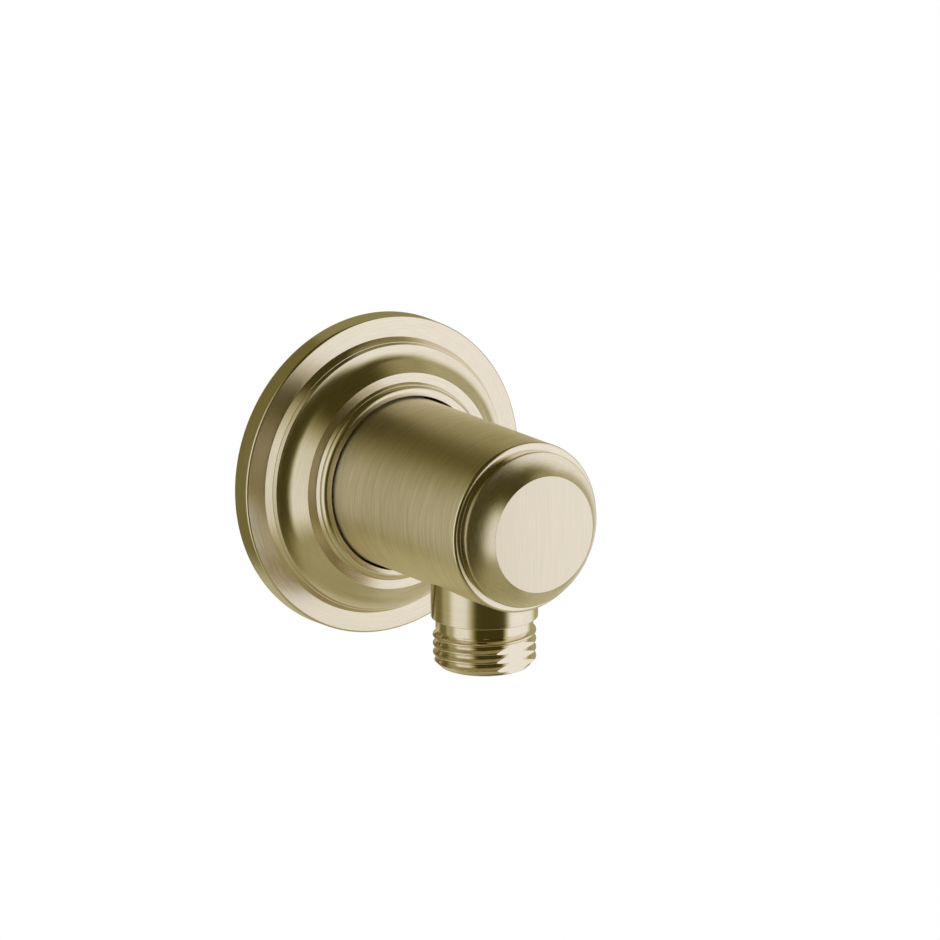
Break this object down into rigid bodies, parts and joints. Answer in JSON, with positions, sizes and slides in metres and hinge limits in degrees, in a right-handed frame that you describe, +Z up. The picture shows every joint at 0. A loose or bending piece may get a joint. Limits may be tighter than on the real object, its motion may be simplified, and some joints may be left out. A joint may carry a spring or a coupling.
{
  "type": "wall outlet elbow",
  "caption": "Round wall outlet elbow with a stepped and coved escutcheon, a coved nose and a threaded hose outlet pointing down, holding a sprung check valve.",
  "frame": {"origin": "centre of the escutcheon's back face, on the wall plane", "axes": "+Y into the wall along the body's axis, +Z up, outlet pointing down along -Z"},
  "size_m": [0.0678, 0.0616, 0.0678],
  "materials": {
    "brushed_brass": "brushed, champagne bronze tone",
    "turned_brass": "fine turned and polished",
    "black_rubber": "matt",
    "valve_plastic": "moulded acetal, satin",
    "spring_steel": "drawn stainless wire"
  },
  "bodies": {
    "elbow": {"elbow_body": "brushed_brass", "escutcheon": "brushed_brass", "escutcheon_o_ring": "black_rubber", "outlet_nipple": "turned_brass", "nipple_washer": "black_rubber", "check_valve_housing": "valve_plastic", "check_valve_o_ring": "black_rubber", "check_valve_guide": "valve_plastic", "check_valve_spring": "spring_steel"},
    "poppet": {"check_valve_poppet": "valve_plastic", "poppet_seal": "black_rubber"}
  },
  "joints": [
    {"name": "poppet_slide", "type": "slide", "parent": "elbow", "child": "poppet", "axis": [0, 0, -1], "range_m": [0, 0.0025], "stiffness_N_per_m": 30, "springref_m": -0.004, "deforming": ["check_valve_spring"]}
  ]
}
